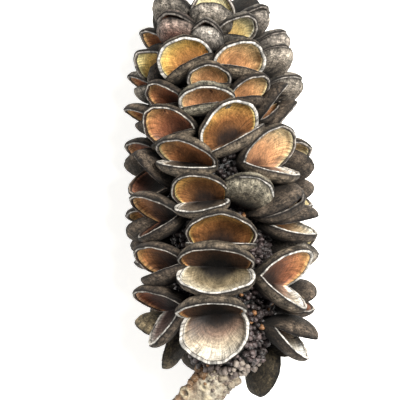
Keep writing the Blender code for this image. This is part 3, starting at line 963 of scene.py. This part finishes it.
def follicle_material():
    """Velvety weathered shell, worn pale rim, and smooth lining with fine radial ticks and arcs."""
    nodes = Nodes("follicle wood")
    tint = nodes.attribute("tint", "Color")
    zone = nodes.attribute("zone")
    seed = nodes.attribute("seed")
    flow = nodes.attribute("flow", "Vector")
    place = nodes.object_place()
    offset = nodes.new("ShaderNodeCombineXYZ")
    nodes.link(seed, offset.inputs["X"])
    nodes.link(seed, offset.inputs["Z"])

    def drift(sideways, lengthwise, detail=3.0, roughness=0.6):
        """Noise that is stretched along or across the flow, other for each follicle."""
        stretched = nodes.vector("MULTIPLY", flow, (sideways, sideways, lengthwise))
        return nodes.noise(nodes.vector("ADD", stretched, offset.outputs[0]), 1.0, detail, roughness)

    def lines(value, width, strength):
        """Thin dark lines where a noise crosses its middle."""
        away = nodes.math("ABSOLUTE", nodes.math("SUBTRACT", value, 0.5))
        return nodes.spread(away, 0.0, width, strength, 1.0)

    # The lining: ticks that run in from the rim, arcs round the mouth, and brown stains.
    way_out = nodes.third(flow)
    near_rim = nodes.spread(way_out, 0.4, 0.95, 0.15, 1.0)
    ticks = drift(17, 1.6)
    arcs = drift(2.4, 20)
    lining_tone = nodes.product(
        nodes.blend_values(near_rim, 1.0, nodes.spread(ticks, 0.38, 0.58, 0.5, 1.14)),
        nodes.spread(arcs, 0.36, 0.64, 0.7, 1.18),
        nodes.product(lines(drift(3, 17), 0.03, 0.5), lines(drift(26, 1.4), 0.05, 0.55)),
        nodes.spread(nodes.noise(place, STAIN_SCALE, 3.0, 0.6), 0.4, 0.62, 0.62, 1.14),
        nodes.spread(nodes.noise(place, GRAIN_SCALE, 2.0, 0.6), 0.34, 0.66, 0.84, 1.12),
    )

    # The shell: blotches, fine hatching round it and across, grain, cracks and pale flecks.
    hatch = drift(4.5, 15, 4.0, 0.75)
    grain = nodes.spread(nodes.noise(place, GRAIN_SCALE, 3.0, 0.7), 0.34, 0.68, 0.6, 1.45)
    shell_tone = nodes.product(
        nodes.spread(nodes.noise(place, BLOTCH_SCALE, 5.0, 0.7), 0.4, 0.62, 0.56, 1.34),
        nodes.spread(hatch, 0.37, 0.63, 0.3, 1.75),
        grain,
        nodes.spread(drift(15, 3), 0.36, 0.64, 0.66, 1.3),
        lines(drift(2.5, 9), 0.03, 0.25),
        nodes.spread(nodes.noise(place, FLECK_SCALE, 4.0, 0.8), 0.57, 0.66, 1.0, 1.45),
    )

    # The rim: short worn streaks across it, and stretches where its crust is gone.
    worn = nodes.product(
        nodes.spread(drift(12, 4, 5.0, 0.78), 0.38, 0.56, 0.42, 1.1),
        nodes.spread(drift(4.5, 3), 0.4, 0.56, 0.4, 1.06),
        nodes.spread(grain, 0.6, 1.45, 0.78, 1.12),
    )

    on_rim = nodes.spread(zone, LINING_ZONE, RIM_ZONE, 0.0, 1.0)
    on_shell = nodes.spread(zone, RIM_ZONE, SHELL_ZONE, 0.0, 1.0)
    detail = nodes.blend_values(on_shell, nodes.blend_values(on_rim, lining_tone, worn), shell_tone)
    nodes.link(nodes.shaded(tint, detail), nodes.shader.inputs["Base Color"])

    outside = nodes.math("MAXIMUM", on_rim, on_shell)
    deep_dullness = nodes.spread(way_out, 0.1, 0.45, 0.4, 0.0)
    lining_roughness = nodes.math("ADD", nodes.spread(arcs, 0.3, 0.7, 0.44, 0.58), deep_dullness)
    roughness = nodes.blend_values(outside, lining_roughness, WOOD_ROUGHNESS)
    nodes.link(roughness, nodes.shader.inputs["Roughness"])
    nodes.shader.inputs["Specular IOR Level"].default_value = WOOD_GLOSS
    fine_relief = nodes.noise(place, RELIEF_SCALE, 4.0, 0.7)
    shell_height = nodes.math("ADD", nodes.product(hatch, 0.8), fine_relief)
    lining_height = nodes.math("ADD", nodes.product(ticks, 0.25), nodes.product(arcs, 0.35))
    nodes.bump(nodes.blend_values(outside, lining_height, shell_height), WOOD_BUMP)
    return nodes.material


def bract_material():
    """Dark dry bracts with a faint sheen, and painted shade where the third part of the flow, the light
    each one gets, is low.
    """
    nodes = Nodes("dry bracts")
    speckle = nodes.noise(nodes.object_place(), BRACT_SCALE, 3.0, 0.6)
    dust = nodes.spread(speckle, 0.52, 0.74, 0.0, 0.4)
    dusty = nodes.mix(dust, nodes.attribute("tint", "Color"), opaque(BRACT_DUST))
    lit = nodes.third(nodes.attribute("flow", "Vector"))
    nodes.link(nodes.shaded(dusty, lit), nodes.shader.inputs["Base Color"])
    nodes.shader.inputs["Roughness"].default_value = BRACT_ROUGHNESS
    nodes.bump(speckle, BRACT_BUMP)
    return nodes.material


def bark_material():
    """Pale grey-tan bark with stains, dust and dark furrows."""
    nodes = Nodes("pale bark")
    place = nodes.object_place()
    patches = nodes.noise(place, BARK_STAIN_SCALE, 5.0, 0.65)
    grain = nodes.noise(place, BARK_GRAIN_SCALE, 4.0, 0.7)
    colour = nodes.attribute("tint", "Color")
    colour = nodes.mix(nodes.spread(patches, 0.5, 0.66, 0.0, 0.7), colour, opaque(BARK_STAIN))
    colour = nodes.mix(nodes.spread(grain, 0.52, 0.7, 0.0, 0.6), colour, opaque(BARK_DUST))
    colour = nodes.mix(nodes.spread(grain, 0.45, 0.34, 0.0, 0.5), colour, opaque(BARK_FURROW))
    nodes.link(colour, nodes.shader.inputs["Base Color"])
    nodes.shader.inputs["Roughness"].default_value = BARK_ROUGHNESS
    nodes.bump(nodes.math("ADD", nodes.product(patches, 0.8), grain), BARK_BUMP)
    return nodes.material


def stem_tube():
    """The stem's plain surface, swept along its route."""
    curve = bpy.data.curves.new("stem_route", "CURVE")
    curve.dimensions = "3D"
    curve.bevel_depth = STEM_RADIUS * MM
    curve.bevel_resolution = STEM_SIDES
    curve.resolution_u = STEM_STEPS
    curve.use_fill_caps = True
    spline = curve.splines.new("BEZIER")
    spline.bezier_points.add(len(STEM_ROUTE) - 1)
    for point, (side, along, height, swell) in zip(spline.bezier_points, STEM_ROUTE):
        point.co = (on_axis(along) + Vector((side, 0, height))) * MM
        point.radius = swell
        point.handle_left_type = "AUTO"
        point.handle_right_type = "AUTO"
    tube = add_object("stem_route", curve)
    graph = bpy.context.evaluated_depsgraph_get()
    mesh = bpy.data.meshes.new_from_object(tube.evaluated_get(graph))
    bpy.data.objects.remove(tube)
    return mesh


def bark_marks(flat):
    """How far a point of the bark is on a mark's ring, and how far in its hollow."""
    ridge = 0.0
    pit = 0.0
    if flat.z > -STEM_RADIUS / 2:
        for side, along, radius, depth in BARK_MARKS:
            distance = math.hypot(flat.x - side, flat.y - along)
            ridge = max(ridge, math.exp(-((distance - radius) / RIDGE_WIDTH) ** 2))
            pit = max(pit, depth * math.exp(-(distance / (PIT_SHARE * radius)) ** 2))
    return ridge, pit


def bark_tone(place, normal, rough, ridge, pit):
    """Tone of the bark at a point: greys in patches, brown at the left, and painted shade on the flanks
    that turn away from above and in the hollows.
    """
    pale, grey, left_brown = (linear(tone) for tone in BARK_TONES)
    left = smooth_step(-normal.x * LEFT_BROWN_CONTRAST - LEFT_BROWN_START)
    patch = smooth_step(noise.noise(place * BARK_PATCH_SCALE) * PATCH_CONTRAST + PATCH_BALANCE)
    edge = EDGE_SHADE + (1 - EDGE_SHADE) * smooth_step(abs(normal.z) * EDGE_FALL)
    hollow = 1 - HOLLOW_SHADE * smooth_step(-rough * HOLLOW_FALL)
    tone = mixed(mixed(pale, grey, patch), left_brown, left) * edge * hollow
    return mixed(tone, linear(RIDGE_HIGHLIGHT_TONE), ridge) * (1 - PIT_SHADE * min(1.0, pit))


def add_stem(material):
    """The cut stem, with its bark worked in relief."""
    mesh = stem_tube()
    shape = bmesh.new()
    shape.from_mesh(mesh)
    bmesh.ops.remove_doubles(shape, verts=shape.verts, dist=1e-6)
    bmesh.ops.recalc_face_normals(shape, faces=shape.faces)
    shape.normal_update()
    tints = []
    for vertex in shape.verts:
        place = vertex.co / MM
        ridge, pit = bark_marks(place - on_axis(0))
        rough = noise.fractal(place * BARK_NOISE_SCALE, *BARK_NOISE) * BARK_RELIEF - BARK_SINK
        rough += RIDGE_HEIGHT * ridge - PIT_DEPTH * pit
        tints.append((*bark_tone(place, vertex.normal, rough, ridge, pit), 1.0))
        vertex.co = vertex.co + vertex.normal * rough * MM
    shape.to_mesh(mesh)
    shape.free()
    mesh.attributes.new("tint", "FLOAT_COLOR", "POINT")
    mesh.attributes["tint"].data.foreach_set("color", np.array(tints).ravel())
    mesh.shade_smooth()
    mesh.materials.clear()
    mesh.materials.append(material)
    return add_object("stem_bark", mesh)


def add_stem_knobs(material):
    """Buds and bract scars at the top of the stem: the named ones, and a collar of small ones."""
    draw = random.Random(COLLAR_SEED)
    ball, ball_faces = knob_shape()
    count = len(ball)
    bud, scar = BUD_TONES
    knobs = [(*knob, bud if knob[0] < COLLAR_MIDDLE[0] else scar) for knob in STEM_KNOBS]
    for _ in range(COLLAR_COUNT):
        turn = draw.uniform(0, math.tau)
        down = draw.uniform(0, 1) ** COLLAR_CROWDING
        side, along = (
            middle + (end - middle) * down + STEM_RADIUS * math.cos(turn) * across
            for middle, end, across in zip(COLLAR_MIDDLE, COLLAR_END, COLLAR_ACROSS)
        )
        height = STEM_RADIUS * math.sin(turn)
        pale = side > COLLAR_MIDDLE[0] - COLLAR_PALE_REACH
        tone = draw.choice(PALE_BRACT_TONES) if pale else bud
        radius = draw.uniform(*COLLAR_SIZES) * (1 - COLLAR_TAPER * down)
        knobs.append((side, along, height, radius, tone))
    # Painted shade: every knob of the stem is darker on its underside than on top.
    shade = COLLAR_SHADE + (1 - COLLAR_SHADE) * (ball[:, 2:3] + 1) / 2
    zones = np.full(count, KNOB_ZONE)
    parts = []
    for side, along, height, radius, tone in knobs:
        middle = on_axis(along) + Vector((side, 0, height))
        world = ball * lumps(ball, COLLAR_LUMPS, draw) * radius + np.array(middle)
        flow = np.zeros((count, 3))
        parts.append((world, linear(tone) * shade, zones, flow, np.zeros(count), ball_faces))
    return build_piece("stem_knobs", parts, material)


def picture_point(x, y, above):
    """The point of the part under a pixel of the photograph, at a height above the cone's axis."""
    turn = math.radians(PICTURE_TURN)
    right = (x - BASE_PIXEL[0]) * PIXEL_SIZE
    down = (y - BASE_PIXEL[1]) * PIXEL_SIZE
    across = right * math.cos(turn) - down * math.sin(turn)
    along = -right * math.sin(turn) - down * math.cos(turn)
    return on_axis(along) + Vector((across, 0, above))


def add_camera():
    """Looks straight down on the lying cone, turned as the cone leans in the photograph."""
    data = bpy.data.cameras.new("camera")
    camera = add_object("camera", data)
    middle = picture_point(PICTURE / 2, PICTURE / 2, FOCUS_OUT)
    camera.location = (middle + Vector((0, 0, CAMERA_DISTANCE))) * MM
    camera.rotation_euler = (0, 0, -math.radians(PICTURE_TURN))
    data.sensor_width = SENSOR
    data.lens = SENSOR * CAMERA_DISTANCE / (PICTURE * PIXEL_SIZE)
    data.clip_end = CAMERA_SIGHT
    bpy.context.scene.camera = camera


def add_light(name, place, size, energy, colour):
    data = bpy.data.lights.new(name, "AREA")
    data.size = size
    data.energy = energy
    data.color = colour
    lamp = add_object(name, data)
    lamp.location = place
    aim = Vector((0, 0, AXIS_HEIGHT * MM)) - Vector(place)
    lamp.rotation_euler = aim.to_track_quat("-Z", "Y").to_euler()


def add_surroundings():
    """A pale floor, soft light from the upper right in front, and an even pale sky."""
    mesh = bpy.data.meshes.new("floor")
    shape = bmesh.new()
    bmesh.ops.create_grid(shape, x_segments=1, y_segments=1, size=FLOOR_SIZE)
    shape.to_mesh(mesh)
    shape.free()
    floor = add_object("floor", mesh)
    nodes = Nodes("pale floor")
    nodes.shader.inputs["Base Color"].default_value = opaque(FLOOR_TONE)
    nodes.shader.inputs["Roughness"].default_value = FLOOR_ROUGHNESS
    nodes.shader.inputs["Emission Color"].default_value = FLOOR_GLOW
    nodes.shader.inputs["Emission Strength"].default_value = FLOOR_GLOW_STRENGTH
    mesh.materials.append(nodes.material)
    add_light("key", *KEY_LAMP)
    add_light("fill", *FILL_LAMP)
    world = bpy.data.worlds.new("sky")
    world.use_nodes = True
    sky = world.node_tree.nodes["Background"]
    sky.inputs["Color"].default_value = (1.0, 1.0, 1.0, 1.0)
    sky.inputs["Strength"].default_value = SKY_STRENGTH
    bpy.context.scene.world = world
    bpy.context.scene.view_settings.view_transform = "Standard"


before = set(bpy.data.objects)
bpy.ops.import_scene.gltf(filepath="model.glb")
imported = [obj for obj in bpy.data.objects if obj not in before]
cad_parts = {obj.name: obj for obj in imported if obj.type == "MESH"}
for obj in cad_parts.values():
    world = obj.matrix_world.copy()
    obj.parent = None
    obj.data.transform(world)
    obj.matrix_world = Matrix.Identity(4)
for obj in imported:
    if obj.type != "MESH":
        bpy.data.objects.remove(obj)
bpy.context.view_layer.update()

wood = follicle_material()
bracts = bract_material()
bark = bark_material()
parts, trees = follicle_parts()
for piece in [*add_follicles(parts, wood), *add_bracts(trees, bracts), add_core(bracts)]:
    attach(piece, "root")
    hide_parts("cone")
for piece in (add_stem(bark), add_stem_knobs(bark)):
    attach(piece, "root")
    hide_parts("stem")
add_camera()
add_surroundings()
